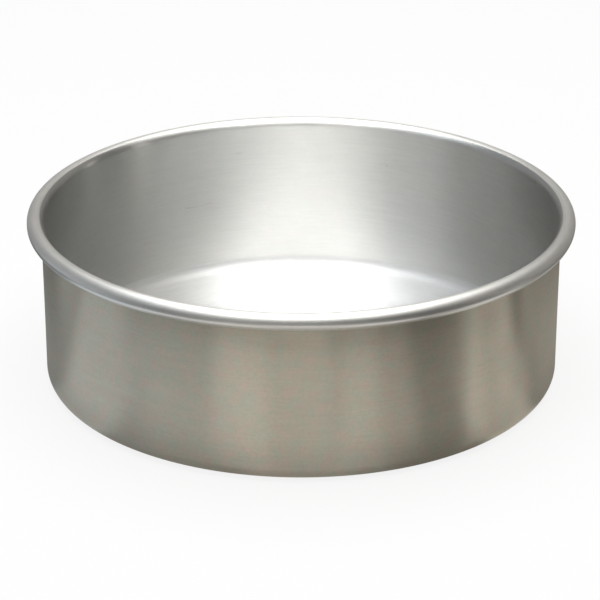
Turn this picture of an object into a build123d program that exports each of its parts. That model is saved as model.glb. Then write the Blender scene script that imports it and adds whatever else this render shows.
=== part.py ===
from build123d import *
from math import acos, degrees
import os

# Round cake tin: one aluminium sheet drawn into a straight-sided pan, its rim curled outwards and
# down round a steel wire. The origin is the centre of the underside, and +Z is the tin's axis.
# All lengths are in millimetres.

# Sizes of the drawn sheet body
inside_diameter = 228.6
overall_height = 78.0
sheet_thickness = 1.2
cove_radius = 5.0  # inside radius where the floor turns up into the wall

# Sizes of the wired rim
wire_diameter = 4.8
wire_play = 0.15  # all round, between the wire and the curl's bore
tuck_gap = 0.3  # between the sheet's raw edge and the wall it is tucked against
wire_end_gap = 0.8  # between the two butting ends of the wire

# Places that follow from those sizes
inside_radius = inside_diameter / 2
curl_bore_radius = wire_diameter / 2 + wire_play
bead_radius = curl_bore_radius + sheet_thickness
cove_centre = (inside_radius - cove_radius, sheet_thickness + cove_radius)
bead_centre = (inside_radius + bead_radius, overall_height - bead_radius)

# The curl leaves the wall upwards and wraps over, out and under, until its raw edge meets the wall.
curl_wrap = 360 - degrees(acos((curl_bore_radius - tuck_gap) / bead_radius))
wire_gap_angle = degrees(wire_end_gap / bead_centre[0])


def sheet_line(depth):
    # One line through the sheet, from the axis to the raw edge, at this depth below the food side.
    floor_height = sheet_thickness - depth
    wall_radius = inside_radius + depth
    floor_run = Line((0, floor_height), (cove_centre[0], floor_height))
    CenterArc(cove_centre, cove_radius + depth, -90, 90)
    Line((wall_radius, cove_centre[1]), (wall_radius, bead_centre[1]))
    curl = CenterArc(bead_centre, bead_radius - depth, 180, -curl_wrap)
    return floor_run @ 0, curl @ 1


# The body is the space between the food side and the dry side, turned about the axis.
with BuildPart() as tin_body:
    with BuildSketch(Plane.XZ) as body_section:
        with BuildLine() as sheet_outline:
            food_start, food_end = sheet_line(0)
            dry_start, dry_end = sheet_line(sheet_thickness)
            Line(food_start, dry_start)
            Line(food_end, dry_end)
        make_face()
    revolve(axis=Axis.Z)

# The wire is one length bent into a ring, and its two ends butt at the back.
with BuildPart() as rim_wire:
    with BuildSketch(Plane.XZ.rotated((0, 0, 90 + wire_gap_angle / 2))) as wire_section:
        with Locations(bead_centre):
            Circle(wire_diameter / 2)
    revolve(axis=Axis.Z, revolution_arc=360 - wire_gap_angle)

tin_body.part.label = "tin_body"
rim_wire.part.label = "rim_wire"

os.makedirs("parts", exist_ok=True)
export_step(tin_body.part, "parts/tin_body.step")
export_step(rim_wire.part, "parts/rim_wire.step")
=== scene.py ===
import math

import bpy
import numpy as np
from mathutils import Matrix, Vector


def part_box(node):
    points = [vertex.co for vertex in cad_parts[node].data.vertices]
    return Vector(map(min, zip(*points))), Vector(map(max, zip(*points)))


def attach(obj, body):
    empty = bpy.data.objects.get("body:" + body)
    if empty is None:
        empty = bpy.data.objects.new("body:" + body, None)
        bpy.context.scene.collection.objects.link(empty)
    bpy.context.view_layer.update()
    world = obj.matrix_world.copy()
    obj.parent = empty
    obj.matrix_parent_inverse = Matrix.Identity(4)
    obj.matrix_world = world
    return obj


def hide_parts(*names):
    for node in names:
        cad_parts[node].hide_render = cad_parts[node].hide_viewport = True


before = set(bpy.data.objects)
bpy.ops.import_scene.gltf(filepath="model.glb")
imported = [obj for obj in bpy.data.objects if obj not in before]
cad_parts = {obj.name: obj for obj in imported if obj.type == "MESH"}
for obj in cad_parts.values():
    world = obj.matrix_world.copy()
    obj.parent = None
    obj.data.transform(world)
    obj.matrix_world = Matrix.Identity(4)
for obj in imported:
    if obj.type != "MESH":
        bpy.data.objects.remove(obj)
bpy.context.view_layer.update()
print("cake tin: frame loaded")

# the tin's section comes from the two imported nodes: the wire gives the bead's centre and the body its size
bodyLow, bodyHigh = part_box("tin_body")
wireLow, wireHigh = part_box("rim_wire")
beadCentreZ = (wireLow.z + wireHigh.z) / 2
beadRadius = bodyHigh.z - beadCentreZ
beadCentreR = bodyHigh.x - beadRadius
insideRadius = beadCentreR - beadRadius

tinSheet = {
    "thickness": 0.0012,
    "coveRadius": 0.005,  # inside, where the floor turns up into the wall
    "tuckGap": 0.0003,  # between the raw edge and the wall
    "edgeRound": 0.0002,  # the sheared edge's worn corners
    "beadTurn": 122,  # degrees: from 180, at the inside wall, to here the wall's grain runs on
    "columns": 420,  # steps round the axis
    "points": {  # along each stretch of the section
        "floor": 28, "cove": 14, "insideWall": 26, "beadInside": 22, "bead": 30, "beadFoot": 26,
        "rawEdge": 9, "bore": 24, "outsideWall": 24, "corner": 18, "underside": 16,
    },
    "wallDent": 0.00012,  # how far the drawn wall strays from true
    "wallMargin": 0.001,  # how far inside the wall's face the dents still reach
    "rimWave": 0.00010,  # how far the bead strays where the rollers pinched the wire
    "floorCrown": 0.00025,  # how far the floor rises unevenly in its middle
    # the waves of each unevenness: how many go round the axis, and the seed of their phases and drifts
    "wallWaves": {"seed": 3, "counts": (2, 3, 5, 8, 11, 17)},
    "rimWaves": {"seed": 5, "counts": (3, 7, 12, 19, 31, 44)},
    "floorWaves": {"seed": 7, "counts": (1, 2, 3, 5)},
    "waveDrift": 40,  # most that a wave turns along the section, in radians a metre
}


def arcPoints(centre, radius, startAngle, endAngle, count):
    # points on a circle of this radius, at even steps of angle from start to end, in degrees
    angles = np.radians(np.linspace(startAngle, endAngle, count))
    return np.column_stack((centre[0] + radius * np.cos(angles), centre[1] + radius * np.sin(angles)))


def linePoints(start, end, count):
    # points at even steps along the straight line from start to end
    return np.linspace(start, end, count)


def edgePoints(centre, innerRadius, outerRadius, angle, bulge, count):
    # the sheared end of the sheet: half a superellipse of power 4 that stands out of the radial line at
    # this angle, so across = half thickness * sqrt(sin), along = bulge * sqrt(cos)
    turn = np.linspace(math.pi / 2, -math.pi / 2, count)
    across = np.sign(np.sin(turn)) * np.sqrt(np.abs(np.sin(turn)))
    along = np.sqrt(np.clip(np.cos(turn), 0, 1)) * bulge
    radial = np.array((math.cos(math.radians(angle)), math.sin(math.radians(angle))))
    ahead = np.array((radial[1], -radial[0]))
    middle = (innerRadius + outerRadius) / 2 + across * (outerRadius - innerRadius) / 2
    return np.array(centre) + middle[:, None] * radial + along[:, None] * ahead


def sheetSection(values):
    # the closed outline of the sheet from the axis along the food side, round the curl and back along the
    # dry side to the axis, as (radius, height) points, with the name of each stretch
    thickness, cove = values["thickness"], values["coveRadius"]
    boreRadius = beadRadius - thickness
    coveCentre = (insideRadius - cove, thickness + cove)
    beadCentre = (beadCentreR, beadCentreZ)
    wrap = 360 - math.degrees(math.acos((boreRadius - values["tuckGap"]) / beadRadius))
    endAngle = 180 - wrap
    shortening = math.degrees(values["edgeRound"] / beadRadius)
    lastAngle = endAngle + shortening
    outerWall = insideRadius + thickness
    turn, worn, count = values["beadTurn"], values["edgeRound"], values["points"]
    stretches = [
        ("floor", linePoints((0, thickness), (coveCentre[0], thickness), count["floor"])),
        ("cove", arcPoints(coveCentre, cove, -90, 0, count["cove"])),
        ("insideWall", linePoints((insideRadius, coveCentre[1]), (insideRadius, beadCentreZ),
                                  count["insideWall"])),
        ("beadInside", arcPoints(beadCentre, beadRadius, 180, turn, count["beadInside"])),
        ("bead", arcPoints(beadCentre, beadRadius, turn, 0, count["bead"])),
        ("beadFoot", arcPoints(beadCentre, beadRadius, 0, lastAngle, count["beadFoot"])),
        ("rawEdge", edgePoints(beadCentre, boreRadius, beadRadius, lastAngle, worn, count["rawEdge"])),
        ("bore", arcPoints(beadCentre, boreRadius, lastAngle, 180, count["bore"])),
        ("outsideWall", linePoints((outerWall, beadCentreZ), (outerWall, coveCentre[1]),
                                   count["outsideWall"])),
        ("corner", arcPoints(coveCentre, cove + thickness, 0, -90, count["corner"])),
        ("underside", linePoints((coveCentre[0], 0), (0, 0), count["underside"])),
    ]
    # each stretch begins where the last one ended, so that point is dropped
    names = [name for name, points in stretches for _ in points[1:]]
    outline = np.vstack([stretches[0][1][:1]] + [points[1:] for _, points in stretches])
    return outline, np.array(names)


def handWaves(turn, run, waves, mostDrift):
    # a smooth unevenness between 0 and 1 round the axis: a sum of sines whose count round the axis and
    # whose drift along the section differ, each with its own seeded phase and a share that falls with count
    rng = np.random.default_rng(waves["seed"])
    total = np.zeros(np.broadcast(turn, run).shape)
    shares = 0.0
    for count in waves["counts"]:
        share = 1 / math.sqrt(count)
        phase = rng.uniform(0, 2 * math.pi)
        drift = rng.uniform(-mostDrift, mostDrift)
        total += share * np.sin(count * turn + phase + drift * run)
        shares += share
    return (1 + total / shares) / 2


def spunSurface(name, values):
    # r(s, a) and z(s, a): the section's point s turned round the axis by angle a. Small, smooth waves move
    # the wall and the bead inwards and the floor upwards, so the sheet stays inside its box.
    outline, names = sheetSection(values)
    columns = values["columns"]
    runs = np.concatenate(([0], np.cumsum(np.linalg.norm(np.diff(outline, axis=0), axis=1))))
    rings, ringRuns = outline[1:-1], runs[1:-1]
    turn = np.linspace(0, 2 * math.pi, columns, endpoint=False)
    radius = np.repeat(rings[:, :1], columns, axis=1)
    height = np.repeat(rings[:, 1:], columns, axis=1)
    turns = np.tile(turn, (len(rings), 1))

    wallShare = np.clip(height / beadCentreZ, 0, 1)
    wallShare = np.sin(math.pi * wallShare) ** 2 * (radius > insideRadius - values["wallMargin"])
    mostDrift = values["waveDrift"]
    radius -= values["wallDent"] * wallShare * handWaves(turns, height, values["wallWaves"], mostDrift)
    beadShare = np.clip((height - beadCentreZ + 2 * beadRadius) / (2 * beadRadius), 0, 1)
    radius -= values["rimWave"] * beadShare * handWaves(turns, height * 0, values["rimWaves"], mostDrift)
    floorShare = np.clip(1 - radius / (insideRadius - values["coveRadius"]), 0, 1)
    floorShare = floorShare ** 2 * (3 - 2 * floorShare)
    height += values["floorCrown"] * floorShare * handWaves(turns, radius, values["floorWaves"], mostDrift)

    ringPoints = np.stack((radius * np.cos(turns), radius * np.sin(turns), height), axis=-1).reshape(-1, 3)
    middleTop, middleUnder = (0, 0, height[0].mean()), (0, 0, height[-1].mean())
    points = np.vstack((ringPoints, [middleTop, middleUnder]))

    ringCount = len(rings)
    ring = np.arange(ringCount - 1)[:, None]
    column = np.arange(columns)[None, :]
    nextColumn = (column + 1) % columns
    quads = np.stack((ring * columns + column, (ring + 1) * columns + column,
                      (ring + 1) * columns + nextColumn, ring * columns + nextColumn), axis=-1)
    quads = quads.reshape(-1, 4)
    along = np.arange(columns)
    after = (along + 1) % columns
    topPole = np.stack((np.full(columns, len(points) - 2), along, after), axis=-1)
    lastRing = (ringCount - 1) * columns
    underPole = np.stack((lastRing + along, np.full(columns, len(points) - 1), lastRing + after), axis=-1)

    # the map: U is the run along the section and V the turn round the axis, both in metres at the wall
    metresRound = 2 * math.pi * insideRadius
    lowRun = np.broadcast_to(ringRuns[:-1, None], (ringCount - 1, columns))
    highRun = np.broadcast_to(ringRuns[1:, None], (ringCount - 1, columns))
    lowTurn = np.broadcast_to(column / columns, (ringCount - 1, columns)) * metresRound
    highTurn = lowTurn + metresRound / columns
    quadMap = np.stack((np.stack((lowRun, highRun, highRun, lowRun), axis=-1),
                        np.stack((lowTurn, lowTurn, highTurn, highTurn), axis=-1)), axis=-1).reshape(-1, 2)
    stepTurn = along / columns * metresRound
    halfStep = metresRound / columns / 2
    middleTurn, nextTurn = stepTurn + halfStep, stepTurn + 2 * halfStep
    firstRun, lastRun = np.full(columns, ringRuns[0]), np.full(columns, ringRuns[-1])
    topMap = np.stack((np.stack((firstRun * 0, firstRun, firstRun), axis=-1),
                       np.stack((middleTurn, stepTurn, nextTurn), axis=-1)), axis=-1)
    underMap = np.stack((np.stack((lastRun, firstRun * 0 + runs[-1], lastRun), axis=-1),
                         np.stack((stepTurn, middleTurn, nextTurn), axis=-1)), axis=-1)

    mesh = bpy.data.meshes.new(name)
    faces = quads.tolist() + topPole.tolist() + underPole.tolist()
    mesh.from_pydata(points.tolist(), [], faces)
    sheetMap = mesh.uv_layers.new(name="sheetMap")
    allMap = np.vstack((quadMap, topMap.reshape(-1, 2), underMap.reshape(-1, 2)))
    sheetMap.data.foreach_set("uv", allMap.astype(np.float32).ravel())
    mesh.polygons.foreach_set("use_smooth", np.ones(len(faces), dtype=bool))
    stretchOfRing = names[1:-1]
    faceStretch = np.concatenate((np.repeat(stretchOfRing[:ringCount - 1], columns),
                                  np.repeat("floor", columns), np.repeat("underside", columns)))
    mesh.update()
    piece = bpy.data.objects.new(name, mesh)
    bpy.context.scene.collection.objects.link(piece)
    return piece, faceStretch


def addNode(tree, kind, **values):
    # a node with its inputs set by name and its settings by attribute
    node = tree.nodes.new(kind)
    for key, value in values.items():
        if key in node.inputs:
            node.inputs[key].default_value = value
        else:
            setattr(node, key, value)
    return node


def mathNode(tree, operation, first, second=None, third=None):
    # one Math node whose inputs are numbers or sockets
    node = tree.nodes.new("ShaderNodeMath")
    node.operation = operation
    for place, value in enumerate((first, second, third)):
        if value is None:
            continue
        if isinstance(value, (int, float)):
            node.inputs[place].default_value = value
        else:
            tree.links.new(value, node.inputs[place])
    return node.outputs[0]


def rampNode(tree, value, low, high, start, end):
    # a smooth step from start, where the value is low, to end, where it is high
    node = tree.nodes.new("ShaderNodeMapRange")
    node.interpolation_type = "SMOOTHSTEP"
    for key, number in (("From Min", low), ("From Max", high), ("To Min", start), ("To Max", end)):
        node.inputs[key].default_value = number
    tree.links.new(value, node.inputs["Value"])
    return node.outputs[0]


def buildSpunCoordinates():
    # group: a point's place for patterns that run round the axis. Object coordinates give the direction
    # from the axis, which has no seam, and the sheet's own map gives the run along the section.
    group = bpy.data.node_groups.new("spunCoordinates", "ShaderNodeTree")
    group.interface.new_socket("Turns", in_out="INPUT", socket_type="NodeSocketFloat")
    group.interface.new_socket("Lines", in_out="INPUT", socket_type="NodeSocketFloat")
    group.interface.new_socket("Vector", in_out="OUTPUT", socket_type="NodeSocketVector")
    source = group.nodes.new("NodeGroupInput")
    sink = group.nodes.new("NodeGroupOutput")
    place = group.nodes.new("ShaderNodeTexCoord")
    flat = addNode(group, "ShaderNodeVectorMath", operation="MULTIPLY")
    flat.inputs[1].default_value = (1, 1, 0)
    direction = addNode(group, "ShaderNodeVectorMath", operation="NORMALIZE")
    wide = addNode(group, "ShaderNodeVectorMath", operation="SCALE")
    sheetMap = addNode(group, "ShaderNodeUVMap", uv_map="sheetMap")
    split = group.nodes.new("ShaderNodeSeparateXYZ")
    splitWide = group.nodes.new("ShaderNodeSeparateXYZ")
    join = group.nodes.new("ShaderNodeCombineXYZ")
    group.links.new(place.outputs["Object"], flat.inputs[0])
    group.links.new(flat.outputs[0], direction.inputs[0])
    group.links.new(direction.outputs[0], wide.inputs[0])
    group.links.new(source.outputs["Turns"], wide.inputs["Scale"])
    group.links.new(wide.outputs[0], splitWide.inputs[0])
    group.links.new(sheetMap.outputs[0], split.inputs[0])
    run = mathNode(group, "MULTIPLY", split.outputs["X"], source.outputs["Lines"])
    group.links.new(splitWide.outputs["X"], join.inputs["X"])
    group.links.new(splitWide.outputs["Y"], join.inputs["Y"])
    group.links.new(run, join.inputs["Z"])
    group.links.new(join.outputs[0], sink.inputs["Vector"])
    return group


spunMarks = {
    # the group's inputs: lines in a metre across the grain, and how often the noise changes round the axis
    "inputs": {"Fine Lines": 2600.0, "Broad Lines": 520.0, "Turns": 5.0},
    "noiseRoughness": 0.6,
    # each noise: the lines that it follows, its share of their count and of the turns, and its detail
    "noises": {
        "fine": ("Fine Lines", 1.0, 1.4, 2.0),
        "broad": ("Broad Lines", 1.0, 1.0, 3.0),
        "contour": ("Broad Lines", 0.5, 0.6, 1.0),
        "mask": ("Broad Lines", 0.09, 0.9, 2.0),
    },
    "fineShare": 0.7,  # of the height, from the fine lines
    "broadShare": 0.3,  # and from the broad ones
    "scratchWidth": 0.010,  # how far to each side of its contour a scratch fades out
    "scratchStart": 0.52,  # the mask's value where scratches begin to show
    "scratchFull": 0.62,  # and where they show in full
}


def buildSpunGrain(coordinates):
    # group: the marks that the abrasive left as the tin turned. Fine lines and broader bands give a height
    # for the bump, a shift for the roughness and a shade for the colour. A scratch is a thin contour of a
    # third noise, kept only where a mask lets it show.
    group = bpy.data.node_groups.new("spunGrain", "ShaderNodeTree")
    for name, value in spunMarks["inputs"].items():
        socket = group.interface.new_socket(name, in_out="INPUT", socket_type="NodeSocketFloat")
        socket.default_value = value
    for name in ("Height", "Roughness", "Shade", "Scratch"):
        group.interface.new_socket(name, in_out="OUTPUT", socket_type="NodeSocketFloat")
    source = group.nodes.new("NodeGroupInput")
    sink = group.nodes.new("NodeGroupOutput")

    def lineNoise(lines, lineShare, turnShare, detail):
        place = group.nodes.new("ShaderNodeGroup")
        place.node_tree = coordinates
        turns = mathNode(group, "MULTIPLY", source.outputs["Turns"], turnShare)
        group.links.new(turns, place.inputs["Turns"])
        count = mathNode(group, "MULTIPLY", source.outputs[lines], lineShare)
        group.links.new(count, place.inputs["Lines"])
        noise = addNode(group, "ShaderNodeTexNoise", Scale=1.0, Detail=detail,
                        Roughness=spunMarks["noiseRoughness"])
        group.links.new(place.outputs["Vector"], noise.inputs["Vector"])
        return noise.outputs["Fac"]

    fine, broad, contour, mask = (lineNoise(*noise) for noise in spunMarks["noises"].values())
    fineHeight = mathNode(group, "MULTIPLY", fine, spunMarks["fineShare"])
    broadHeight = mathNode(group, "MULTIPLY", broad, spunMarks["broadShare"])
    both = mathNode(group, "ADD", fineHeight, broadHeight)
    offLine = mathNode(group, "ABSOLUTE", mathNode(group, "SUBTRACT", contour, 0.5))
    thin = rampNode(group, offLine, 0.0, spunMarks["scratchWidth"], 1.0, 0.0)
    kept = rampNode(group, mask, spunMarks["scratchStart"], spunMarks["scratchFull"], 0.0, 1.0)
    group.links.new(both, sink.inputs["Height"])
    group.links.new(mathNode(group, "SUBTRACT", broad, 0.5), sink.inputs["Roughness"])
    group.links.new(mathNode(group, "SUBTRACT", both, 0.5), sink.inputs["Shade"])
    group.links.new(mathNode(group, "MULTIPLY", thin, kept), sink.inputs["Scratch"])
    return group


handling = {
    "size": 40.0,  # scale of the cloud's noise, per metre
    "noiseRoughness": 0.55,
    # each mark: its scale as a multiple of the cloud's, its detail, and how far its noise is moved
    "marks": {"Cloud": (1.0, 3.0, 0.0), "Smudge": (18.0, 2.0, 0.3), "Tint": (4.5, 2.0, 0.7)},
    "tintReach": 0.18,  # how far from zero the tint's noise has changed the hue in full
}


def buildHandling():
    # group: what use and storage leave on soft metal: a wide cloud, small smudges and a drift of tint, each
    # its own noise about zero
    group = bpy.data.node_groups.new("handlingMarks", "ShaderNodeTree")
    socket = group.interface.new_socket("Size", in_out="INPUT", socket_type="NodeSocketFloat")
    socket.default_value = handling["size"]
    for name in handling["marks"]:
        group.interface.new_socket(name, in_out="OUTPUT", socket_type="NodeSocketFloat")
    source = group.nodes.new("NodeGroupInput")
    sink = group.nodes.new("NodeGroupOutput")
    place = group.nodes.new("ShaderNodeTexCoord")
    for output, (factor, detail, shift) in handling["marks"].items():
        moved = addNode(group, "ShaderNodeVectorMath", operation="ADD")
        moved.inputs[1].default_value = (shift, shift, shift)
        noise = addNode(group, "ShaderNodeTexNoise", Detail=detail, Roughness=handling["noiseRoughness"])
        group.links.new(place.outputs["Object"], moved.inputs[0])
        group.links.new(moved.outputs[0], noise.inputs["Vector"])
        group.links.new(mathNode(group, "MULTIPLY", source.outputs["Size"], factor), noise.inputs["Scale"])
        group.links.new(mathNode(group, "SUBTRACT", noise.outputs["Fac"], 0.5), sink.inputs[output])
    return group


spunCoordinates = buildSpunCoordinates()
spunGrain = buildSpunGrain(spunCoordinates)
handlingMarks = buildHandling()

# colour and tint are the two ends of the metal's slow drift of hue. Grain and cloud shift the roughness;
# shade, cloud, smudge and scratch are shares of the brightness. Bump is in millimetres, and fine and broad
# are lines in a metre.
beadMetal = {"colour": (0.865, 0.85, 0.82), "tint": (0.84, 0.845, 0.81), "anisotropic": 0.4, "grain": 0.08,
             "shade": 0.12, "bump": 0.01, "cloud": 0.06, "smudge": 0.09, "fine": 2000.0, "broad": 900.0}
finishes = {
    "floorFinish": {"colour": (0.92, 0.92, 0.915), "tint": (0.91, 0.915, 0.91), "roughness": 0.45,
                    "anisotropic": 0.92, "grain": 0.10, "shade": 0.25, "bump": 0.02, "cloud": 0.05,
                    "smudge": 0.04, "scratch": 0.05, "fine": 1300.0, "broad": 420.0},
    "wallFinish": {"colour": (0.855, 0.85, 0.825), "tint": (0.84, 0.85, 0.825), "roughness": 0.30,
                   "anisotropic": 1.0, "grain": 0.10, "shade": 0.15, "bump": 0.004, "cloud": 0.05,
                   "smudge": 0.05, "fine": 1300.0, "broad": 420.0},
    "bead": {**beadMetal, "roughness": 0.47},
    "beadFoot": {**beadMetal, "roughness": 0.34},
    # the dry side's foot shade is painted shade: it darkens the wall's colour towards the floor, where the
    # contact shadow falls
    "drySide": {"colour": (0.90, 0.80, 0.67), "tint": (0.83, 0.825, 0.685), "roughness": 0.36,
                "anisotropic": 1.0, "grain": 0.12, "shade": 0.18, "bump": 0.02, "cloud": 0.16,
                "smudge": 0.16, "fine": 1400.0, "broad": 420.0, "paintedFootShade": 0.85, "footTop": 0.022},
}
stretchFinish = {
    "floor": "floorFinish", "cove": "floorFinish", "insideWall": "wallFinish", "beadInside": "wallFinish",
    "bead": "bead", "beadFoot": "beadFoot", "rawEdge": "beadFoot", "bore": "beadFoot",
    "outsideWall": "drySide", "corner": "drySide", "underside": "drySide",
}


def buildSheetFinish(name, values):
    # satin aluminium: the grain drives colour, roughness and bump, and the map's U direction, which runs
    # across the grain, is the way that the highlight spreads
    material = bpy.data.materials.new(name)
    material.use_nodes = True
    tree = material.node_tree
    shader = tree.nodes["Principled BSDF"]
    shader.inputs["Metallic"].default_value = 1.0
    shader.inputs["Anisotropic"].default_value = values["anisotropic"]
    grain = tree.nodes.new("ShaderNodeGroup")
    grain.node_tree = spunGrain
    grain.inputs["Fine Lines"].default_value = values["fine"]
    grain.inputs["Broad Lines"].default_value = values["broad"]
    marks = tree.nodes.new("ShaderNodeGroup")
    marks.node_tree = handlingMarks
    tangent = addNode(tree, "ShaderNodeTangent", direction_type="UV_MAP", uv_map="sheetMap")
    tree.links.new(tangent.outputs[0], shader.inputs["Tangent"])
    bump = addNode(tree, "ShaderNodeBump", Strength=1.0, Distance=values["bump"] * 0.001)
    tree.links.new(grain.outputs["Height"], bump.inputs["Height"])
    tree.links.new(bump.outputs[0], shader.inputs["Normal"])
    rough = mathNode(tree, "MULTIPLY_ADD", grain.outputs["Roughness"], values["grain"], values["roughness"])
    rough = mathNode(tree, "MULTIPLY_ADD", marks.outputs["Cloud"], values["cloud"], rough)
    tree.links.new(rough, shader.inputs["Roughness"])
    shade = mathNode(tree, "MULTIPLY_ADD", grain.outputs["Shade"], values["shade"], 1.0)
    shade = mathNode(tree, "MULTIPLY_ADD", marks.outputs["Cloud"], values["cloud"], shade)
    shade = mathNode(tree, "MULTIPLY_ADD", marks.outputs["Smudge"], values["smudge"], shade)
    if "scratch" in values:
        shade = mathNode(tree, "MULTIPLY_ADD", grain.outputs["Scratch"], values["scratch"], shade)
    if "paintedFootShade" in values:
        # painted shade: the foot of the wall is darkened towards the floor, where the tin's contact shadow
        # falls
        place = tree.nodes.new("ShaderNodeTexCoord")
        split = tree.nodes.new("ShaderNodeSeparateXYZ")
        tree.links.new(place.outputs["Object"], split.inputs[0])
        foot = rampNode(tree, split.outputs["Z"], 0.0, values["footTop"], values["paintedFootShade"], 1.0)
        shade = mathNode(tree, "MULTIPLY", shade, foot)
    hue = addNode(tree, "ShaderNodeMix", data_type="RGBA")
    tinted = rampNode(tree, marks.outputs["Tint"], -handling["tintReach"], handling["tintReach"], 0.0, 1.0)
    tree.links.new(tinted, hue.inputs["Factor"])
    hue.inputs["A"].default_value = (*values["colour"], 1)
    hue.inputs["B"].default_value = (*values["tint"], 1)
    colour = addNode(tree, "ShaderNodeVectorMath", operation="SCALE")
    tree.links.new(hue.outputs["Result"], colour.inputs[0])
    tree.links.new(shade, colour.inputs["Scale"])
    tree.links.new(colour.outputs[0], shader.inputs["Base Color"])
    return material


tin, faceStretch = spunSurface("tinBody", tinSheet)
for finish, values in finishes.items():
    tin.data.materials.append(buildSheetFinish(finish, values))
finishPlace = {finish: place for place, finish in enumerate(finishes)}
facePlaces = np.array([finishPlace[stretchFinish[stretch]] for stretch in faceStretch], dtype=np.int32)
tin.data.polygons.foreach_set("material_index", facePlaces)
tin.data.update()
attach(tin, "root")
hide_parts("tin_body")
print("cake tin: sheet body,", len(tin.data.polygons), "faces")

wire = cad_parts["rim_wire"]
wireZinc = {
    "colour": (0.58, 0.59, 0.60),
    "spangle": 900.0,  # cells in a metre
    "roughness": 0.38,  # of the smoothest cell
    "roughSpread": 0.18,  # and what the roughest adds
    "shade": 0.9,  # brightness of the darkest cell
    "shadeSpread": 0.2,  # and what the lightest adds
}


def buildWireFinish(values):
    # dull zinc over steel: a fine spangle breaks up colour and roughness
    material = bpy.data.materials.new("galvanisedWire")
    material.use_nodes = True
    tree = material.node_tree
    shader = tree.nodes["Principled BSDF"]
    shader.inputs["Metallic"].default_value = 1.0
    place = tree.nodes.new("ShaderNodeTexCoord")
    spangle = addNode(tree, "ShaderNodeTexVoronoi", Scale=values["spangle"])
    tree.links.new(place.outputs["Object"], spangle.inputs["Vector"])
    split = tree.nodes.new("ShaderNodeSeparateColor")
    tree.links.new(spangle.outputs["Color"], split.inputs[0])
    rough = mathNode(tree, "MULTIPLY_ADD", split.outputs[0], values["roughSpread"], values["roughness"])
    tree.links.new(rough, shader.inputs["Roughness"])
    colour = addNode(tree, "ShaderNodeVectorMath", operation="SCALE")
    colour.inputs[0].default_value = values["colour"]
    shade = mathNode(tree, "MULTIPLY_ADD", split.outputs[1], values["shadeSpread"], values["shade"])
    tree.links.new(shade, colour.inputs["Scale"])
    tree.links.new(colour.outputs[0], shader.inputs["Base Color"])
    return material


wire.data.materials.clear()
wire.data.materials.append(buildWireFinish(wireZinc))
print("cake tin: rim wire")

# the floor and the room. The camera sees both as plain white. The metal sees them only at part strength:
# each patch below is a soft-edged stretch of floor or room and the glow that the metal sees there, where 1
# is plain white. Azimuths are in degrees from the front, positive to the right. A patch of floor runs from
# and to distances in metres from the axis, and a patch of room from and to elevations in degrees.
studio = {
    "floorSize": 6.0,
    "floorDrop": 0.0003,  # how far the floor lies under the tin
    "floorColour": (0.80, 0.80, 0.79),
    "whiteShare": 0.85,  # share of plain white in the floor; the lamps light the rest, with its shadow
    "coolLight": (0.955, 1.0, 1.055),  # the light that the metal sees on its left
    "warmLight": (1.035, 1.0, 0.955),  # and on its right
    "coolUpTo": -1.0,  # sine of the azimuth where the light is coolest
    "warmFrom": -0.2,  # and from where on it is warm in full
    "mostCosine": 0.99999,  # keeps rounding from taking the arc cosine out of its range
    "softTurn": 7,  # degrees of azimuth that a patch's soft edge takes
    "softReach": 0.014,  # metres that it takes along the floor
    "softRise": 6,  # degrees of elevation that it takes in the room
}
floorPatches = {
    "foot": {"azimuth": 0, "width": 400, "from": -0.10, "to": 0.150, "glow": 0.28},
    "leftFoot": {"azimuth": -64, "width": 28, "from": 0.10, "to": 0.150, "glow": 0.20},
    "frontFoot": {"azimuth": 0, "width": 24, "from": 0.10, "to": 0.150, "glow": 0.08},
    "midFoot": {"azimuth": 33, "width": 26, "from": 0.10, "to": 0.150, "glow": -0.08},
    "rightFoot": {"azimuth": 56, "width": 22, "from": 0.10, "to": 0.150, "glow": 0.26},
    "ring": {"azimuth": 0, "width": 400, "from": 0.150, "to": 0.210, "glow": 0.29},
    "ringCentre": {"azimuth": 1, "width": 18, "from": 0.150, "to": 0.210, "glow": 0.21},
    "ringLeft": {"azimuth": -32, "width": 46, "from": 0.150, "to": 0.210, "glow": 0.46},
    "ringRight": {"azimuth": 22, "width": 22, "from": 0.150, "to": 0.210, "glow": 0.49},
    "leftRing": {"azimuth": -70, "width": 30, "from": 0.150, "to": 0.210, "glow": 0.42},
    "midRing": {"azimuth": 43, "width": 22, "from": 0.150, "to": 0.210, "glow": 0.16},
    "rightRing": {"azimuth": 65, "width": 24, "from": 0.150, "to": 0.210, "glow": 0.44},
    "apron": {"azimuth": -2, "width": 54, "from": 0.210, "to": 0.29, "glow": 0.54},
    "apronCentre": {"azimuth": 1, "width": 18, "from": 0.210, "to": 0.29, "glow": 0.44},
    "leftApron": {"azimuth": -60, "width": 54, "from": 0.210, "to": 0.29, "glow": 0.18},
    "rightApron": {"azimuth": 42, "width": 32, "from": 0.210, "to": 0.29, "glow": 0.15},
    "rightGlint": {"azimuth": 68, "width": 16, "from": 0.210, "to": 0.29, "glow": 0.20},
    "rightEdge": {"azimuth": 106, "width": 40, "from": 0.150, "to": 0.29, "glow": 0.12},
    "leftFront": {"azimuth": -26, "width": 70, "from": 0.29, "to": 3.2, "glow": 0.14},
    "leftSweep": {"azimuth": -88, "width": 44, "from": 0.29, "to": 3.2, "glow": 0.50},
    "farGlint": {"azimuth": 81, "width": 6, "from": 0.24, "to": 3.2, "glow": 1.10},
    "behind": {"azimuth": 180, "width": 160, "from": 0.29, "to": 3.2, "glow": 0.26},
}
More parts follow.
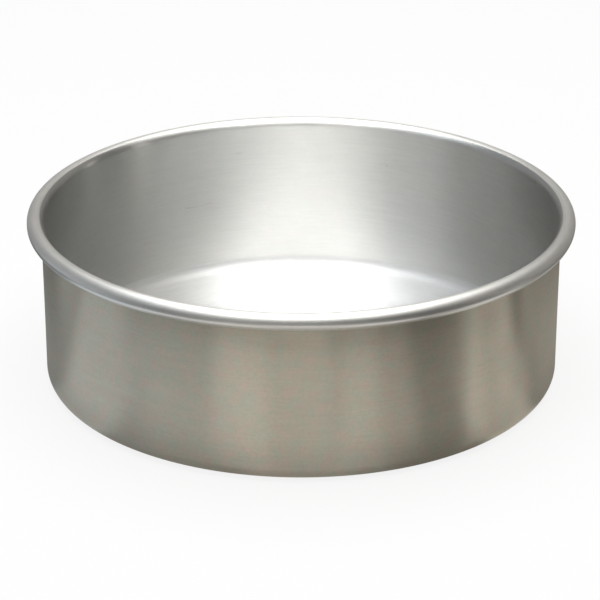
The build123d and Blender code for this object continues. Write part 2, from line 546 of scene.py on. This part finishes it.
roomPatches = {
    "sky": {"azimuth": 0, "width": 400, "from": 43, "to": 143, "glow": 0.42},
    "leftSky": {"azimuth": -75, "width": 90, "from": 43, "to": 61, "glow": 0.46},
    "rightSky": {"azimuth": 75, "width": 80, "from": 43, "to": 61, "glow": 0.28},
    "leftHigh": {"azimuth": -86, "width": 80, "from": 61, "to": 76, "glow": 0.08},
    "rightHigh": {"azimuth": 86, "width": 80, "from": 61, "to": 76, "glow": 0.08},
    "frontSky": {"azimuth": 2, "width": 64, "from": 43, "to": 61, "glow": 0.28},
    "backWall": {"azimuth": 180, "width": 126, "from": 22, "to": 43, "glow": 0.25},
    "leftWall": {"azimuth": -90, "width": 54, "from": 14, "to": 43, "glow": 0.22},
    "rightWall": {"azimuth": 90, "width": 50, "from": 14, "to": 43, "glow": 0.10},
    "frontLeft": {"azimuth": -42, "width": 60, "from": 12, "to": 43, "glow": 0.29},
    "frontRight": {"azimuth": 22, "width": 66, "from": 22, "to": 43, "glow": 0.16},
    "backLow": {"azimuth": 180, "width": 126, "from": -4, "to": 22, "glow": 0.22},
    "frontLow": {"azimuth": -1, "width": 72, "from": -4, "to": 12, "glow": 0.06},
    "frontGlint": {"azimuth": -22, "width": 24, "from": -4, "to": 14, "glow": 0.12},
    "leftLow": {"azimuth": -100, "width": 34, "from": -4, "to": 14, "glow": 0.30},
    "leftFaint": {"azimuth": -68, "width": 36, "from": -4, "to": 14, "glow": 0.06},
    "glintOne": {"azimuth": 77, "width": 6, "from": -6, "to": 14, "glow": 1.45},
    "glintTwo": {"azimuth": 109, "width": 8, "from": -6, "to": 14, "glow": 1.00},
}


def seenPatches(tree, direction, place, patches, softPlace):
    # the sum of the patches: each is its glow times one soft window over the azimuth and one over the
    # place, a distance or an elevation. Their light is a little cooler on the left than on the right.
    flat = addNode(tree, "ShaderNodeVectorMath", operation="MULTIPLY")
    flat.inputs[1].default_value = (1, 1, 0)
    tree.links.new(direction, flat.inputs[0])
    unit = addNode(tree, "ShaderNodeVectorMath", operation="NORMALIZE")
    tree.links.new(flat.outputs[0], unit.inputs[0])
    total = 0.0
    softTurn = math.radians(studio["softTurn"]) / 2
    for patch in patches.values():
        middle, reach = (patch["from"] + patch["to"]) / 2, (patch["to"] - patch["from"]) / 2
        offset = mathNode(tree, "ABSOLUTE", mathNode(tree, "SUBTRACT", place, middle))
        window = rampNode(tree, offset, reach - softPlace / 2, reach + softPlace / 2, patch["glow"], 0.0)
        if patch["width"] < 360:
            azimuth, half = math.radians(patch["azimuth"]), math.radians(patch["width"] / 2)
            towards = addNode(tree, "ShaderNodeVectorMath", operation="DOT_PRODUCT")
            towards.inputs[1].default_value = (math.sin(azimuth), -math.cos(azimuth), 0)
            tree.links.new(unit.outputs[0], towards.inputs[0])
            cosine = mathNode(tree, "MINIMUM", towards.outputs["Value"], studio["mostCosine"])
            away = mathNode(tree, "ARCCOSINE", cosine)
            across = rampNode(tree, away, half - softTurn, half + softTurn, 1.0, 0.0)
            window = mathNode(tree, "MULTIPLY", window, across)
        total = mathNode(tree, "ADD", window, total)
    split = tree.nodes.new("ShaderNodeSeparateXYZ")
    tree.links.new(unit.outputs[0], split.inputs[0])
    hue = addNode(tree, "ShaderNodeMix", data_type="RGBA")
    warmth = rampNode(tree, split.outputs["X"], studio["coolUpTo"], studio["warmFrom"], 0.0, 1.0)
    tree.links.new(warmth, hue.inputs["Factor"])
    hue.inputs["A"].default_value = (*studio["coolLight"], 1)
    hue.inputs["B"].default_value = (*studio["warmLight"], 1)
    return mathNode(tree, "MAXIMUM", total, 0.0), hue.outputs["Result"]


def buildFloor():
    # a flat square: white to the camera with the lamps' soft shadow, and the floor's patches to the metal
    half, level = studio["floorSize"] / 2, -studio["floorDrop"]
    mesh = bpy.data.meshes.new("studioFloor")
    corners = [(x, y, level) for x, y in ((-half, -half), (half, -half), (half, half), (-half, half))]
    mesh.from_pydata(corners, [], [(0, 1, 2, 3)])
    floor = bpy.data.objects.new("studioFloor", mesh)
    bpy.context.scene.collection.objects.link(floor)
    material = bpy.data.materials.new("paleFloor")
    material.use_nodes = True
    tree = material.node_tree
    tree.nodes.clear()
    diffuse = addNode(tree, "ShaderNodeBsdfDiffuse", Color=(*studio["floorColour"], 1))
    white = tree.nodes.new("ShaderNodeEmission")
    path = tree.nodes.new("ShaderNodeLightPath")
    clear = mathNode(tree, "MAXIMUM", path.outputs["Is Camera Ray"], path.outputs["Is Transmission Ray"])
    glossy = path.outputs["Is Glossy Ray"]
    place = tree.nodes.new("ShaderNodeTexCoord")
    reach = addNode(tree, "ShaderNodeVectorMath", operation="LENGTH")
    tree.links.new(place.outputs["Object"], reach.inputs[0])
    glow, hue = seenPatches(tree, place.outputs["Object"], reach.outputs["Value"], floorPatches,
                            studio["softReach"])
    tree.links.new(mathNode(tree, "MULTIPLY_ADD", glossy, glow, clear), white.inputs["Strength"])
    colour = addNode(tree, "ShaderNodeMix", data_type="RGBA")
    tree.links.new(clear, colour.inputs["Factor"])
    tree.links.new(hue, colour.inputs["A"])
    colour.inputs["B"].default_value = (1, 1, 1, 1)
    tree.links.new(colour.outputs["Result"], white.inputs["Color"])
    share = mathNode(tree, "MULTIPLY_ADD", clear, studio["whiteShare"], glossy)
    mix = tree.nodes.new("ShaderNodeMixShader")
    out = tree.nodes.new("ShaderNodeOutputMaterial")
    tree.links.new(share, mix.inputs[0])
    tree.links.new(diffuse.outputs[0], mix.inputs[1])
    tree.links.new(white.outputs[0], mix.inputs[2])
    tree.links.new(mix.outputs[0], out.inputs["Surface"])
    mesh.materials.append(material)


def buildRoom():
    # the world: plain white to the camera, and the room's patches to everything else
    world = bpy.data.worlds.new("studioRoom")
    bpy.context.scene.world = world
    world.use_nodes = True
    tree = world.node_tree
    tree.nodes.clear()
    place = tree.nodes.new("ShaderNodeTexCoord")
    split = tree.nodes.new("ShaderNodeSeparateXYZ")
    tree.links.new(place.outputs["Generated"], split.inputs[0])
    elevation = mathNode(tree, "MULTIPLY", mathNode(tree, "ARCSINE", split.outputs["Z"]), math.degrees(1))
    glow, hue = seenPatches(tree, place.outputs["Generated"], elevation, roomPatches, studio["softRise"])
    room = tree.nodes.new("ShaderNodeBackground")
    tree.links.new(glow, room.inputs["Strength"])
    tree.links.new(hue, room.inputs["Color"])
    white = addNode(tree, "ShaderNodeBackground", Color=(1, 1, 1, 1), Strength=1.0)
    path = tree.nodes.new("ShaderNodeLightPath")
    seen = mathNode(tree, "MAXIMUM", path.outputs["Is Camera Ray"], path.outputs["Is Transmission Ray"])
    mix = tree.nodes.new("ShaderNodeMixShader")
    out = tree.nodes.new("ShaderNodeOutputWorld")
    tree.links.new(seen, mix.inputs[0])
    tree.links.new(room.outputs[0], mix.inputs[1])
    tree.links.new(white.outputs[0], mix.inputs[2])
    tree.links.new(mix.outputs[0], out.inputs["Surface"])


# each lamp is a flat soft box: where it hangs, what it points at, its width and height, and the brightness
# of its face, where 1 is plain white
lamps = {
    "overheadBox": {"place": (0.0, 0.0, 1.2), "aim": (0, 0, 0), "size": (1.12, 1.5), "glow": 2.85},
    "overheadLeft": {"place": (-0.33, 0.0, 1.19), "aim": (-0.33, 0, 0), "size": (0.36, 1.5), "glow": 0.42},
    "overheadRight": {"place": (0.33, 0.0, 1.19), "aim": (0.33, 0, 0), "size": (0.36, 1.5), "glow": 0.42},
}


def hangLamps():
    for name, values in lamps.items():
        width, height = values["size"]
        data = bpy.data.lights.new(name, "AREA")
        data.shape = "RECTANGLE"
        data.size, data.size_y = width, height
        data.energy = values["glow"] * math.pi * width * height
        lamp = bpy.data.objects.new(name, data)
        lamp.location = values["place"]
        facing = Vector(values["aim"]) - Vector(values["place"])
        lamp.rotation_euler = facing.to_track_quat("-Z", "Y").to_euler()
        bpy.context.scene.collection.objects.link(lamp)


buildFloor()
buildRoom()
hangLamps()
print("cake tin: floor, room and", len(lamps), "lamps")

camera = {
    "aim": (-0.0005, 0.0, 0.0321),
    "elevation": 23.73,  # degrees above the floor
    "distance": 1.1202,
    "lens": 148.5,
    "sensor": 36.0,
}
cameraData = bpy.data.cameras.new("photoCamera")
cameraData.lens = camera["lens"]
cameraData.sensor_width = camera["sensor"]
photoCamera = bpy.data.objects.new("photoCamera", cameraData)
rise = math.radians(camera["elevation"])
offset = Vector((0, -math.cos(rise), math.sin(rise))) * camera["distance"]
photoCamera.location = Vector(camera["aim"]) + offset
photoCamera.rotation_euler = (-offset).to_track_quat("-Z", "Y").to_euler()
bpy.context.scene.collection.objects.link(photoCamera)
bpy.context.scene.camera = photoCamera
bpy.context.scene.view_settings.view_transform = "Standard"

bpy.context.view_layer.update()
